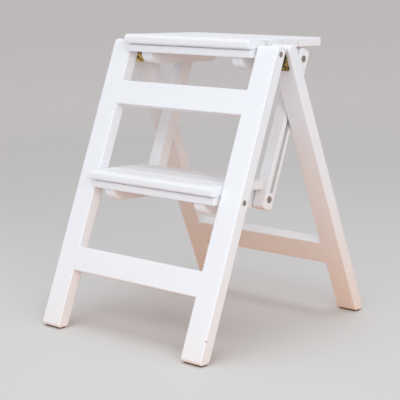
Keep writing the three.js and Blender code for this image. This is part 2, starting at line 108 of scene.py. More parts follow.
class StoolSizes(bpy.types.PropertyGroup):
    """Sections of the wooden pieces and the rounding of their edges."""

    front_lean: angle("Front lean", "Lean of the front legs", 22.35)
    rear_lean: angle("Rear lean", "Lean of the rear legs", 21.4)
    tread_tilt: angle("Tread tilt", "Fall of the treads to the rear", 2.5)
    fit_gap: length("Fit gap", "Gap at a joint between two pieces", 0.3)
    rail_bite: length("Rail bite", "How far a rail runs into the rounding of a leg's edge", 1.3)
    leg_edge: measure("Leg edge", "rounding", 2.2)
    rail_edge: measure("Rail edge", "rounding", 2)
    bearer_edge: measure("Bearer edge", "rounding", 1.2)
    bar_edge: measure("Side bar edge", "rounding", 1.6)
    leg_from_pin: length("Leg from hinge pin", "From the hinge pin to a leg's near face", 4.2)
    leg_thickness: measure("Leg", "thickness", 20.5)
    leg_top_round: measure("Leg top corner", "rounding", 8)
    foot_round: measure("Foot corner", "rounding", 5)
    rail_height: measure("Rail", "height", 40)
    front_rail: measure("Front rail", "thickness", 17)
    rear_rail: measure("Rear rail", "thickness", 20)
    upper_rail_drop: length("Upper rail drop", "From the hinge pin down to the upper rail", 89.5)
    lower_rail_drop: length("Lower rail drop", "From the hinge pin down to the lower rail", 372)
    rear_rail_drop: length("Rear rail drop", "From the hinge pin down to the rear rail", 370.5)
    board: measure("Board", "thickness", 14)
    nosing: measure("Nosing", "thickness", 15)
    board_round: measure("Board upper edge", "rounding", 2.5)
    nose_round: measure("Nosing upper front edge", "rounding", 6.5)
    nose_under: measure("Nosing lower front edge", "rounding", 4.2)
    board_end: measure("Board end", "rounding", 1.4)
    gap_paint: length("Gap paint", "Thickness of the paint on a board's long edges", 0.45)
    nose_reach: length("Nose reach", "From a tread's pivot forward to its nosing's front", 27)
    nosing_depth: measure("Nosing", "depth", 42.5)
    slat_depth: measure("Middle board", "depth", 36.5)
    rear_board_depth: measure("Rear board", "depth", 55)
    board_gap: length("Board gap", "Gap between two boards", 3)
    apron_height: measure("Moulding", "height", 13.1)
    apron_depth: measure("Moulding", "depth", 25)
    apron_setback: length("Apron setback", "From the nosing's front back to the moulding", 7.7)
    apron_edge: measure("Moulding lower edge", "rounding", 1.3)
    apron_end: measure("Moulding end", "rounding", 0.8)
    apron_bore: length("Apron bore", "Depth of the screw holes in the moulding's ends", 30.3)
    quirk_height: length("Quirk height", "Height of the groove between nosing and moulding", 1.9)
    quirk_depth: length("Quirk depth", "Depth of the groove between nosing and moulding", 2.8)
    bearer_height: measure("Bearer", "height", 32.8)
    upper_bearer_setback: length("Upper bearer setback", "From upper nosing back to bearers", 16)
    lower_bearer_setback: length("Lower bearer setback", "From lower nosing back to bearers", 12)
    bearer_front_round: measure("Bearer front", "rounding", 17)
    bearer_rear_round: measure("Bearer rear", "rounding", 16)
    bearer_rear_inset: length("Bearer rear inset", "From the rear board's edge to the bearers", 0.5)
    beyond_bolt: length("Beyond bolt", "From the lower bolt back to the bearer's end", 15.5)
    bearer_wall: length("Bearer wall", "Wood left at the inner end of a bearer's bolt hole", 4)
    bar_depth: measure("Side bar", "depth", 23)
    bar_end: length("Side bar end", "From a bolt to the end of a side bar", 16.5)
    bar_round: measure("Side bar end", "rounding", 7)
    bolt_back: length("Bolt behind pivot", "From a tread's pivot back to its bolt", 109.5)
    bolt_drop: length("Bolt below pivot", "From a tread's pivot down to its bolt", 11.8)
    bolt_hole: measure("Bolt hole", "radius", 3.4)
    bolt_recess: measure("Bolt recess", "radius", 5.2)
    bolt_recess_depth: measure("Bolt recess", "depth", 4.5)
    screw_hole: measure("Pivot screw hole", "radius", 2.9)
    screw_recess: measure("Pivot screw recess", "radius", 4)
    screw_recess_depth: measure("Pivot screw recess", "depth", 4)
    groove_half: length("Groove half width", "Half the width of a side bar's groove", 3.6)
    groove_offset: length("Groove offset", "From a side bar's middle back to its groove", 1)
    groove_depth: measure("Side bar groove", "depth", 9)
    groove_end: length("Groove end", "From a side bar's lower bolt up to its groove", 14.5)
    leaf: measure("Hinge leaf", "thickness", 1.8)
    knuckle: measure("Hinge knuckle", "radius", 3.9)
    upper_screw_drop: length("Upper hinge screw", "From the hinge pin to the upper screw", 14.5)
    lower_screw_drop: length("Lower hinge screw", "From the hinge pin to the lower screw", 26.5)
    screw_head: measure("Hinge screw head", "radius", 2.9)
    screw_shank: measure("Hinge screw shank", "radius", 1.4)
    pad_edge: measure("Foot pad edge", "rounding", 0.7)


class StoolFinish(bpy.types.PropertyGroup):
    """Colours of the finishes and the strength of their surface detail."""

    paint: tint("Paint", "Colour of the white paint", (0.86, 0.87, 0.89))
    worn_paint: tint("Worn paint", "Colour of the paint where edges have rubbed", (0.74, 0.70, 0.65))
    # Also the colour of the painted shade in recesses and grooves.
    bare_wood_and_shade: tint("Bare wood", "Colour of the wood where the paint has chipped", (0.36, 0.24, 0.15))
    paint_roughness: share("Paint roughness", "Roughness of the semi-gloss paint", 0.45)
    grain_relief: share("Grain relief", "How far the wood grain shows through the paint", 0.42)
    edge_wear: share("Edge wear", "How much the edges have rubbed", 0.35)
    brass: tint("Brass", "Colour of bright brass", (0.70, 0.47, 0.14))
    # Also the colour of the painted shade near the hinge pins.
    brass_dull_and_shade: tint("Dull brass", "Colour of tarnished brass", (0.085, 0.08, 0.055))
    brass_roughness: share("Brass roughness", "Roughness of the brass", 0.30)
    steel: tint("Steel", "Colour of the zinc-plated steel", (0.66, 0.63, 0.61))
    steel_dull: tint("Dull steel", "Colour of dull zinc patches", (0.36, 0.33, 0.31))
    steel_roughness: share("Steel roughness", "Roughness of the steel", 0.44)
    nylon: tint("Nylon", "Colour of the washers", (0.72, 0.71, 0.66))
    felt: tint("Felt", "Colour of the felt pads", (0.075, 0.05, 0.035))
    felt_pale: tint("Felt fibres", "Colour of the felt's loose fibres", (0.16, 0.11, 0.08))
    # Painted shade on the floors of the side bars' grooves.
    groove_shade: share("Groove wear", "How thin the paint is in the side bars' grooves", 0.26)
    chip_place: spot("Chip place", "Place of the chip, in the front legs' axes",
                     (0.1757, -0.0240, -0.4518))
    chip_radius: measure("Chip", "radius", 1.4)
    # Painted shade: how far down from the pins the hinge leaves are darkened.
    pin_shade_reach: length("Grease reach", "From the hinge pins down to where their grease ends", 24)


class StoolStage(bpy.types.PropertyGroup):
    """Floor, light and camera."""

    floor_seen: tint("Floor", "Colour of the floor as the camera sees it", (0.67, 0.66, 0.645))
    floor_seen_far: tint("Floor far off", "Colour of the distant floor as the camera sees it",
                         (0.93, 0.92, 0.90))
    floor_radius: length("Floor radius", "Radius of the round floor", 40000)
    floor_fade_from: length("Floor fade from", "Distance at which the floor starts to pale", 900)
    floor_fade_to: length("Floor fade to", "Distance at which the floor is at its palest", 3400)
    floor_near: tint("Floor bounce near", "Colour of the light from the floor round the feet",
                     (0.72, 0.32, 0.09))
    floor_far: tint("Floor bounce far", "Colour of the light from the floor further off",
                    (0.82, 0.82, 0.85))
    floor_reach: length("Floor bounce reach", "Distance at which half the warmth is lost", 600)
    floor_warm_place: spot("Warm place", "Middle of the warm part of the floor", (0, 0.32, 0))
    sky: tint("Room light", "Colour of the light from the room", (1.0, 0.96, 0.985))
    sky_strength: share("Room light strength", "Strength of the light from the room", 0.545, 4)
    lamp_tint: tint("Lamp colour", "Colour of the lamps", (0.89, 0.955, 0.985))
    lamp_size: length("Lamp size", "Side of the square lamps", 2200)
    lamp_spread: angle("Lamp spread", "Angle over which the lamps shine", 80)
    front_power: power("Front lamp power", "Power of the lamp in front", 4.5)
    front_place: spot("Front lamp place", "Place of the lamp in front", (0.6, -2.7, 2.0))
    side_power: power("Side lamp power", "Power of the lamp on the right", 10.1)
    side_place: spot("Side lamp place", "Place of the lamp on the right", (2.4, -1.5, 1.45))
    top_power: power("Top lamp power", "Power of the lamp overhead", 7.1)
    top_place: spot("Top lamp place", "Place of the lamp overhead", (0, 0, 3.0))
    aim: spot("Lamp aim", "Point that the lamps shine at", (0, 0, 0.22))
    camera_place: spot("Camera place", "Place of the camera", (1.421463, -1.543951, 0.606758))
    camera_turn: angle("Camera turn", "Turn of the camera to the left", 42.767)
    camera_down: angle("Camera down", "Tilt of the camera downwards", 10.997)
    camera_roll: angle("Camera roll", "Roll of the camera about its view", -1.043)
    lens: FloatProperty(name="Lens", description="Focal length in millimetres on a 36 mm frame",
                        default=117.84, min=10)


# Outlines and solids

def side_axes(origin, turn):
    """Axes of a leaning group: X stays, Y and Z are turned about X at the origin."""
    return Matrix.Translation(origin) @ Matrix.Rotation(turn, 4, "X")


def shift_outline(corners, inset):
    """Corners (y, z, radius) of an outline moved inwards, their arcs shrunk or grown to suit."""
    moved = []
    for index, (y, z, radius) in enumerate(corners):
        here = Vector((y, z))
        into = (here - Vector(corners[index - 1][:2])).normalized()
        out = (Vector(corners[(index + 1) % len(corners)][:2]) - here).normalized()
        inward_in = Vector((-into.y, into.x))
        inward_out = Vector((-out.y, out.x))
        point = here + (inward_in + inward_out) * (inset / (1 + inward_in.dot(inward_out)))
        hollow = into.x * out.y - into.y * out.x < 0
        moved.append((point.x, point.y, max(radius + inset if hollow else radius - inset, SHARP)))
    return moved


def trace_outline(corners, steps=6):
    """Points round an outline, with the share of edge rounding that each one stands for."""
    points = []
    for index, (y, z, radius) in enumerate(corners):
        here = Vector((y, z))
        back = (Vector(corners[index - 1][:2]) - here).normalized()
        ahead = (Vector(corners[(index + 1) % len(corners)][:2]) - here).normalized()
        half = math.acos(max(-1.0, min(1.0, back.dot(ahead)))) / 2
        centre = here + (back + ahead).normalized() * (radius / math.sin(half))
        start = here + back * (radius / math.tan(half)) - centre
        sweep = math.copysign(math.pi - 2 * half, back.y * ahead.x - back.x * ahead.y)
        worn = min(1.0, 3 * MM / radius) if radius > 2 * SHARP else 0.0
        for step in range(steps + 1):
            spoke = start.copy()
            spoke.rotate(Matrix.Rotation(sweep * step / steps, 2))
            points.append((centre + spoke, worn * math.sin(math.pi * step / steps)))
    return points


def mesh_from(work, name):
    """The finished work as a mesh."""
    mesh = bpy.data.meshes.new(name)
    work.to_mesh(mesh)
    work.free()
    return mesh


def linked(name, data):
    """A new object of the data, in the scene."""
    made = bpy.data.objects.new(name, data)
    bpy.context.scene.collection.objects.link(made)
    return made


def skin_rings(work, rings):
    """A closed solid over rings of vertices: sides from ring to ring and a cap at each end."""
    for near, far in zip(rings, rings[1:]):
        for index, vertex in enumerate(near):
            after = (index + 1) % len(near)
            work.faces.new((vertex, far[index], far[after], near[after]))
    work.faces.new(rings[0])
    work.faces.new(list(reversed(rings[-1])))
    bmesh.ops.recalc_face_normals(work, faces=work.faces)


def bar_mesh(name, corners, from_x, to_x, edge, steps=5):
    """An outline in the side plane run along X, with its two ends rounded over by the edge."""
    work = bmesh.new()
    worn = work.verts.layers.float.new("worn_edge")
    turns = [math.pi / 2 * step / steps for step in range(steps + 1)]
    sections = [(from_x + edge * (1 - math.cos(turn)), turn) for turn in turns]
    sections += [(to_x - edge * (1 - math.cos(turn)), turn) for turn in reversed(turns)]
    rings = []
    for x, turn in sections:
        ring = []
        shifted = shift_outline(corners, edge * (1 - math.sin(turn)))
        for point, corner_share in trace_outline(shifted):
            vertex = work.verts.new((x, point.x, point.y))
            vertex[worn] = max(corner_share * math.sin(turn), math.sin(2 * turn))
            ring.append(vertex)
        rings.append(ring)
    skin_rings(work, rings)
    return mesh_from(work, name)


def add_lathe(work, profile, centre, axis, sides=40):
    """Adds a closed turned solid to the work: its profile is (radius, place along the axis)."""
    first = Vector((0, 0, 1)) if axis != 2 else Vector((1, 0, 0))
    along = Vector([1.0 if index == axis else 0.0 for index in range(3)])
    second = along.cross(first)
    turns = [2 * math.pi * side / sides for side in range(sides)]
    spokes = [first * math.cos(turn) + second * math.sin(turn) for turn in turns]
    rings = []
    for radius, place in profile:
        middle = centre + along * place
        around = [middle + spoke * radius for spoke in spokes] if radius > 0 else [middle]
        rings.append([work.verts.new(point) for point in around])
    made = []
    for near, far in zip(rings, rings[1:]):
        for index in range(sides):
            corners = [near[index % len(near)], near[(index + 1) % len(near)],
                       far[(index + 1) % len(far)], far[index % len(far)]]
            kept = [corner for place, corner in enumerate(corners) if corner not in corners[:place]]
            made.append(work.faces.new(kept))
    bmesh.ops.recalc_face_normals(work, faces=made)


def recessed_bore(side, outside, inside, hole, recess, depth):
    """Profile of a bore along X with a recess for a head at its outer end and a broken edge."""
    start, floor, end = inside - side * OVERRUN, outside - side * depth, outside + side * OVERRUN
    return [(0, start), (hole, start), (hole, floor), (recess, floor),
            (recess, outside - side * LIP), (recess + LIP, outside), (recess + LIP, end), (0, end)]


def plain_bore(radius, start, end):
    """Profile of a bore along X."""
    return [(0, start), (radius, start), (radius, end), (0, end)]


def drilled(mesh, profiles, centres, name):
    """The mesh with bores along X cut out of it, every profile at every centre."""
    cutter = bmesh.new()
    for centre in centres:
        for profile in profiles:
            add_lathe(cutter, profile, Vector((0, centre.y, centre.z)), 0)
    return cut_mesh(mesh, cutter, name)


def cut_mesh(mesh, cutter, name):
    """The mesh with the cutter's solids taken out of it."""
    tool_mesh = mesh_from(cutter, name + "_cutter")
    tool = linked(name + "_cutter", tool_mesh)
    blank = linked(name + "_blank", mesh)
    taken = blank.modifiers.new("holes", "BOOLEAN")
    taken.operation = "DIFFERENCE"
    taken.solver = "EXACT"
    taken.object = tool
    result = settled_mesh(blank)
    for piece in (tool, blank):
        bpy.data.objects.remove(piece)
    bpy.data.meshes.remove(tool_mesh)
    if not result.polygons:
        raise RuntimeError(f"{name}: nothing is left after its holes are cut")
    return result


def settled_mesh(piece):
    """The piece's mesh with its modifiers applied."""
    bpy.context.view_layer.update()
    graph = bpy.context.evaluated_depsgraph_get()
    settled = piece.evaluated_get(graph)
    return bpy.data.meshes.new_from_object(settled, preserve_all_data_layers=True, depsgraph=graph)


def mark_painted_shade(mesh, runs):
    """Marks the insides of holes and grooves for painted shade in the bare-wood colour: each run is a
    lower Z, an upper Z, a Y, a radius and how strong the painted shade is there."""
    marks = mesh.attributes.new("bare", "FLOAT", "FACE")
    ends = [vertex.co.x for vertex in mesh.vertices]
    skin = 0.15 * MM
    first, last = min(ends) + skin, max(ends) - skin
    for face, mark in zip(mesh.polygons, marks.data):
        centre = face.center
        mark.value = 0.0
        if first < centre.x < last:
            for low, high, y, radius, shade_depth in runs:
                nearest = min(max(centre.z, low), high)
                if math.hypot(centre.y - y, centre.z - nearest) < radius:
                    mark.value = shade_depth


def shaded_recesses(centres, recess):
    """Runs for mark_painted_shade: the recesses of a radius at the centres, in full painted shade."""
    return [(centre.z, centre.z, centre.y, recess + 0.3 * MM, 1.0) for centre in centres]


def finish_piece(name, mesh, material, body, axes=None, stands_for=(), smooth=32):
    """Makes the piece, shades its rounded edges smoothly, and hangs it on its body."""
    mesh.shade_smooth()
    mesh.set_sharp_from_angle(angle=math.radians(smooth))
    piece = linked(name, mesh)
    weighted = piece.modifiers.new("even_faces", "WEIGHTED_NORMAL")
    weighted.keep_sharp = True
    piece.data = settled_mesh(piece)
    piece.modifiers.clear()
    piece.data.name = name
    piece.data.materials.clear()
    piece.data.materials.append(material)
    own_place = piece.data.attributes.new("own_place", "FLOAT_VECTOR", "POINT")
    for vertex, entry in zip(piece.data.vertices, own_place.data):
        entry.vector = vertex.co
    if axes is not None:
        piece.data.transform(axes)
    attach(piece, body)
    if stands_for:
        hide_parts(*stands_for)


def paint_piece(name, mesh, grain, body, axes, node, chipped=False):
    """Finishes a wooden piece in white paint, its grain along axis 0, 1 or 2 of its own."""
    finish_piece(name, mesh, painted_wood(grain, chipped), body, axes, [node])


def span(side, inner, outer):
    """A run of X from an inner to an outer distance, on the left (-1) or the right (1)."""
    return (inner, outer) if side > 0 else (-outer, -inner)


# Materials

class Wire:
    """A node's output as a number or a vector: an expression on it adds its Math nodes."""

    def __init__(self, nodes, socket):
        self.nodes = nodes
        self.socket = socket

    def math(self, operation, first, second=0.0, clamp=False):
        settings = {"operation": operation, "use_clamp": clamp}
        return self.nodes.add("ShaderNodeMath", settings, {0: first, 1: second})

    def __add__(self, other):
        return self.math("ADD", self, other)

    def __radd__(self, other):
        return self.math("ADD", other, self)

    def __sub__(self, other):
        return self.math("SUBTRACT", self, other)

    def __rsub__(self, other):
        return self.math("SUBTRACT", other, self)

    def __mul__(self, other):
        return self.math("MULTIPLY", self, other)

    def __rmul__(self, other):
        return self.math("MULTIPLY", other, self)

    def held(self):
        """The number kept between 0 and 1."""
        return self.math("ADD", self, 0.0, clamp=True)


class Nodes:
    """A material's or world's nodes."""

    def __init__(self, owner):
        owner.use_nodes = True
        self.tree = owner.node_tree
        self.tree.nodes.clear()

    def add(self, kind, settings=None, sockets=None, out=0):
        """Adds a node with its settings, then the values or links of its sockets."""
        node = self.tree.nodes.new(kind)
        for name, value in (settings or {}).items():
            setattr(node, name, value)
        for name, value in (sockets or {}).items():
            socket = node.inputs[name]
            if isinstance(value, Wire):
                self.tree.links.new(value.socket, socket)
            elif hasattr(socket.default_value, "__len__") and len(socket.default_value) == 4:
                socket.default_value = (*value, 1.0)
            else:
                socket.default_value = value
        return Wire(self, node.outputs[out]) if len(node.outputs) else None

    def place(self):
        """The place on the object, as the object's own coordinates."""
        return self.add("ShaderNodeTexCoord", out=3)

    def mix(self, factor, first, second):
        """Two colours mixed by a factor."""
        settings = {"data_type": "RGBA", "blend_type": "MIX", "clamp_factor": True}
        return self.add("ShaderNodeMix", settings, {0: factor, 6: first, 7: second}, out=2)

    def scaled(self, vector, factors):
        """A vector times three numbers, one for each axis."""
        return self.add("ShaderNodeVectorMath", {"operation": "MULTIPLY"}, {0: vector, 1: factors})

    def distance(self, place, point):
        """How far a place is from a point."""
        settings = {"operation": "DISTANCE"}
        return self.add("ShaderNodeVectorMath", settings, {0: place, 1: list(point)}, out=1)

    def noise(self, vector, scale, detail=3.0, roughness=0.55, distortion=0.0):
        """Soft noise between 0 and 1 over a vector."""
        sockets = {"Vector": vector, "Scale": scale, "Detail": detail, "Roughness": roughness,
                   "Distortion": distortion}
        return self.add("ShaderNodeTexNoise", {"noise_dimensions": "3D"}, sockets)

    def above(self, value, low, high):
        """0 below low, 1 above high, and even in between."""
        sockets = {"Value": value, "From Min": low, "From Max": high, "To Min": 0.0, "To Max": 1.0}
        return self.add("ShaderNodeMapRange", {"interpolation_type": "SMOOTHSTEP"}, sockets)

    def bump(self, height, distance, strength=1.0, under=None):
        """A normal that follows a height, over another normal where one is given."""
        sockets = {"Height": height, "Distance": distance, "Strength": strength}
        if under is not None:
            sockets["Normal"] = under
        return self.add("ShaderNodeBump", None, sockets)

    def close(self, sockets):
        """Ends the tree in a surface shader with the given sockets."""
        shader = self.add("ShaderNodeBsdfPrincipled", None, sockets)
        self.add("ShaderNodeOutputMaterial", None, {"Surface": shader})


def new_material(name, build):
    """The named material, built once."""
    found = bpy.data.materials.get(name)
    if found:
        return found
    material = bpy.data.materials.new(name)
    build(Nodes(material), bpy.context.scene.stool_finish)
    return material


def painted_wood(grain, chipped=False):
    """White semi-gloss paint over wood whose grain runs along one axis of the piece: 0, 1 or 2."""
    def build(nodes, finish):
        place = nodes.add("ShaderNodeAttribute", {"attribute_name": "own_place"}, out=1)
        lines, bands, strokes = (
            nodes.scaled(place, [along if axis == grain else across for axis in range(3)])
            for along, across in ((9.0, 620.0), (3.0, 60.0), (22.0, 1500.0)))
        pores = nodes.noise(lines, 1.0, 3.0, 0.6, 0.2)
        figure = nodes.noise(bands, 1.0, 2.0, 0.5, 0.9)
        brushed = nodes.noise(strokes, 1.0, 2.0)
        skin = nodes.noise(place, 420.0, 2.0)
        cloud = nodes.noise(place, 11.0, 3.0)
        edge = nodes.add("ShaderNodeAttribute", {"attribute_name": "worn_edge"}, out=2)
        patchy = nodes.above(nodes.noise(place, 55.0, 4.0, 0.65), 0.40, 0.72)
        rubbed = (nodes.above(edge, 0.55, 1.0) * patchy * finish.edge_wear).held()
        shade = (0.05 * cloud + 0.08 * nodes.above(pores, 0.62, 0.80) + 0.04 * figure).held()
        colour = nodes.mix(shade, finish.paint, [tone * 0.86 for tone in finish.worn_paint])
        colour = nodes.mix(rubbed, colour, finish.worn_paint)
        # Painted shade: the insides of recesses and grooves are darkened towards the bare-wood
        # colour.
        hole = nodes.add("ShaderNodeAttribute", {"attribute_name": "bare"}, out=2)
        colour = nodes.mix(hole * (0.75 + 0.25 * pores), colour, finish.bare_wood_and_shade)
        relief = 0.5 * pores + 0.3 * figure + 0.2 * brushed
        if chipped:
            off = nodes.distance(place, finish.chip_place)
            ragged = off + 0.6 * MM * nodes.noise(place, 1400.0, 2.0)
            chip = 1 - nodes.above(ragged, finish.chip_radius, finish.chip_radius + 0.5 * MM)
            colour = nodes.mix(chip, colour, finish.bare_wood_and_shade)
            relief = relief - 2.0 * chip
        normal = nodes.bump(relief, 0.06 * MM, finish.grain_relief)
        normal = nodes.bump(skin, 0.02 * MM, 0.35, normal)
        rough = finish.paint_roughness - 0.05 + 0.10 * brushed + 0.06 * cloud + 0.12 * rubbed
        nodes.close({"Base Color": colour, "Roughness": rough, "Specular IOR Level": 0.30,
                     "Normal": normal})
    return new_material("painted_wood_" + "xyz"[grain] + ("_chipped" if chipped else ""), build)


def brass(tarnish=0.0):
    """Rolled brass, brushed along the leaf, tarnished in patches, with painted shade near the hinge
    pin.
    """
    def build(nodes, finish):
        place = nodes.place()
        drawn = nodes.noise(nodes.scaled(place, [90.0, 2400.0, 2400.0]), 1.0, 3.0)
        spots = nodes.noise(place, 300.0, 5.0, 0.7, 0.6)
        clouds = nodes.noise(nodes.scaled(place, [150.0, 90.0, 90.0]), 1.0, 2.0, 0.6, 0.8)
        height = nodes.add("ShaderNodeSeparateXYZ", None, {"Vector": place}, out=2)
        pin = places["rear_frame_hinge"].z
        # Painted shade near the pin, where the legs close over the hinge; dull below holds both the
        # tarnish and this painted shade.
        pin_shade = nodes.above(height, pin - finish.pin_shade_reach, pin - 14 * MM)
        dull = (0.45 * nodes.above(spots, 0.44, 0.66) + 0.75 * nodes.above(clouds, 0.38, 0.58)
                + 0.35 * pin_shade + tarnish).held()
        nodes.close({
            "Base Color": nodes.mix(dull, finish.brass, finish.brass_dull_and_shade),
            "Metallic": 1.0,
            "Roughness": finish.brass_roughness - 0.06 + 0.12 * drawn + 0.22 * dull,
            "Normal": nodes.bump(0.7 * drawn + 0.3 * spots, 0.02 * MM, 0.5),
        })
    return new_material("screw_brass" if tarnish else "hinge_brass", build)


def zinc_steel():
    """Zinc-plated steel with turning marks and dull patches."""
    def build(nodes, finish):
        place = nodes.place()
        turned = nodes.noise(nodes.scaled(place, [3200.0, 500.0, 500.0]), 1.0, 2.0)
        spangle = nodes.noise(place, 900.0, 4.0, 0.7, 0.3)
        dull = (0.8 * nodes.above(spangle, 0.45, 0.70)).held()
        nodes.close({
            "Base Color": nodes.mix(dull, finish.steel, finish.steel_dull),
            "Metallic": 1.0,
            "Roughness": finish.steel_roughness - 0.05 + 0.12 * turned + 0.15 * dull,
            "Normal": nodes.bump(turned, 0.015 * MM, 0.5),
        })
    return new_material("zinc_steel", build)


def nylon():
    """Moulded natural nylon with a fine matt skin."""
    def build(nodes, finish):
        place = nodes.place()
        skin = nodes.noise(place, 1800.0, 3.0)
        stain = 0.6 * nodes.above(nodes.noise(place, 160.0, 3.0), 0.40, 0.75)
        yellowed = [tone * kept for tone, kept in zip(finish.nylon, (0.95, 0.88, 0.72))]
        nodes.close({
            "Base Color": nodes.mix(stain, finish.nylon, yellowed),
            "Roughness": 0.42 + 0.18 * skin,
            "Normal": nodes.bump(skin, 0.02 * MM, 0.4),
        })
    return new_material("washer_nylon", build)


def felt():
    """Pressed felt: tangled fibres over a dark ground."""
    def build(nodes, finish):
        place = nodes.place()
        tangle = nodes.noise(place, 2600.0, 4.0, 0.7, 2.0)
        clumps = nodes.noise(place, 380.0, 3.0, 0.6, 1.0)
        loose = (nodes.above(tangle, 0.48, 0.66) * (0.35 + 0.6 * clumps)).held()
        nodes.close({
            "Base Color": nodes.mix(loose, finish.felt, finish.felt_pale),
            "Roughness": 0.86 + 0.12 * clumps,
            "Sheen Weight": 0.25,
            "Normal": nodes.bump(0.7 * tangle + 0.3 * clumps, 0.18 * MM, 0.8),
        })
    return new_material("pad_felt", build)


# Places that several pieces share

def hinge_axes(turn):
    return side_axes(places["rear_frame_hinge"], turn)


def front_axes():
    return hinge_axes(-bpy.context.scene.stool_sizes.front_lean)


def rear_axes():
    return hinge_axes(bpy.context.scene.stool_sizes.rear_lean)


def tread_axes(tread):
    return side_axes(places[f"{tread}_tread_fold"], -bpy.context.scene.stool_sizes.tread_tilt)


def local_z(axes, y, height):
    """Z in leaning axes at which the level plane at a height cuts the line at y."""
    origin = axes.translation
    return (height - origin.z - y * axes[2][1]) / axes[2][2]


def leg_outline(axes, near_y, far_y, bottom, top):
    """Side outline of a leg: cut level at its foot and its top, with rounded corners."""
    sizes = bpy.context.scene.stool_sizes
    level = rectangle(near_y, far_y, bottom, top, sizes.foot_round, sizes.leg_top_round)
    return [(y, local_z(axes, y, height), radius) for y, height, radius in level]


def rectangle(from_y, to_y, from_z, to_z, lower, upper):
    """A rectangle's corners, its lower and upper ones with their own rounding."""
    return [(from_y, from_z, lower), (to_y, from_z, lower),
            (to_y, to_z, upper), (from_y, to_z, upper)]


def tread_top(tread):
    """Z of a tread's top in its own axes, from the highest point of its nosing."""
    sizes = bpy.context.scene.stool_sizes
    axes = tread_axes(tread)
    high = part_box(f"{tread}_nosing")[1].z
    crest = -sizes.nose_reach + sizes.nose_round
    return local_z(axes, crest, high)


def board_edges(tread):
    """Front and rear edge of each board of a tread, the nosing first, in the tread's axes."""
    sizes = bpy.context.scene.stool_sizes
    depths = [sizes.nosing_depth, sizes.slat_depth, sizes.slat_depth]
    if tread == "upper":
        depths.append(sizes.rear_board_depth)
    edges = []
    start = -sizes.nose_reach
    for depth in depths:
        edges.append((start, start + depth))
        start += depth + sizes.board_gap
    return edges


# Operators, one for each group of like pieces

class StoolLegs(bpy.types.Operator):
    """Adds the four legs, with recessed holes for the tread pivots in the front ones"""

    bl_idname = "stool.legs"
    bl_label = "Legs"

    def execute(self, context):
        sizes = context.scene.stool_sizes
        for name, side in SIDES:
            low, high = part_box(f"front_leg_{name}")
            axes = front_axes()
            near = -sizes.leg_from_pin - sizes.leg_thickness
            outline = leg_outline(axes, near, -sizes.leg_from_pin, low.z, high.z)
            mesh = bar_mesh(f"leg_front_{name}", outline, low.x, high.x, sizes.leg_edge)
            outside, inside = (high.x, low.x) if side > 0 else (low.x, high.x)
            pivots = [axes.inverted() @ places[f"{tread}_tread_fold"] for tread in TREADS]
            bore = recessed_bore(side, outside, inside, sizes.screw_hole, sizes.screw_recess,
                                 sizes.screw_recess_depth)
            mesh = drilled(mesh, [bore], pivots, f"leg_front_{name}")
            mark_painted_shade(mesh, shaded_recesses(pivots, sizes.screw_recess))
            paint_piece(f"leg_front_{name}", mesh, 2, "front_frame", axes, f"front_leg_{name}",
                        chipped=side > 0)
            low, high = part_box(f"rear_leg_{name}")
            axes = rear_axes()
            far = sizes.leg_from_pin + sizes.leg_thickness
            outline = leg_outline(axes, sizes.leg_from_pin, far, low.z, high.z)
            mesh = bar_mesh(f"leg_rear_{name}", outline, low.x, high.x, sizes.leg_edge)
            paint_piece(f"leg_rear_{name}", mesh, 2, "rear_frame", axes, f"rear_leg_{name}")
        return {"FINISHED"}


class StoolRails(bpy.types.Operator):
    """Adds the two front rails and the rear rail between the legs"""

    bl_idname = "stool.rails"
    bl_label = "Rails"

    def execute(self, context):
        sizes = context.scene.stool_sizes
        front = -sizes.leg_from_pin - sizes.leg_thickness
        half = sizes.rail_height / 2
        rails = [
            ("front_upper_rail", "front", front, sizes.front_rail, sizes.upper_rail_drop),
            ("front_lower_rail", "front", front, sizes.front_rail, sizes.lower_rail_drop),
            ("rear_rail", "rear", sizes.leg_from_pin, sizes.rear_rail, sizes.rear_rail_drop),
        ]
        for name, legs, face, thickness, drop in rails:
            axes = front_axes() if legs == "front" else rear_axes()
            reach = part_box(f"{legs}_leg_right")[0].x + sizes.rail_bite
            outline = rectangle(face, face + thickness, -drop - half, -drop + half,
                                sizes.rail_edge, sizes.rail_edge)
            mesh = bar_mesh(f"rail_{name}", outline, -reach, reach, 0.2 * MM, 2)
            paint_piece(f"rail_{name}", mesh, 0, f"{legs}_frame", axes, name)
        return {"FINISHED"}


class StoolBoards(bpy.types.Operator):
    """Adds the boards of both treads, each with a rounded nosing in front"""

    bl_idname = "stool.boards"
    bl_label = "Tread boards"

    def execute(self, context):
        sizes = context.scene.stool_sizes
        for tread in TREADS:
            top = tread_top(tread)
            edges = board_edges(tread)
            under = sizes.board_round / 2
            for index, (from_y, to_y) in enumerate(edges):
                far = to_y + (sizes.gap_paint if index < len(edges) - 1 else 0)
                if index:
                    node = f"{tread}_board_{index + 1}"
                    near, bottom = from_y - sizes.gap_paint, top - sizes.board
                    front, front_under = sizes.board_round, under
                else:
                    node = f"{tread}_nosing"
                    near, bottom = from_y, top - sizes.nosing
                    front, front_under = sizes.nose_round, sizes.nose_under
                outline = [(near, bottom, front_under), (far, bottom, under),
                           (far, top, sizes.board_round), (near, top, front)]
                low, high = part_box(node)
                mesh = bar_mesh(f"tread_{node}", outline, low.x, high.x, sizes.board_end)
                paint_piece(f"tread_{node}", mesh, 0, f"{tread}_tread", tread_axes(tread), node)
        return {"FINISHED"}


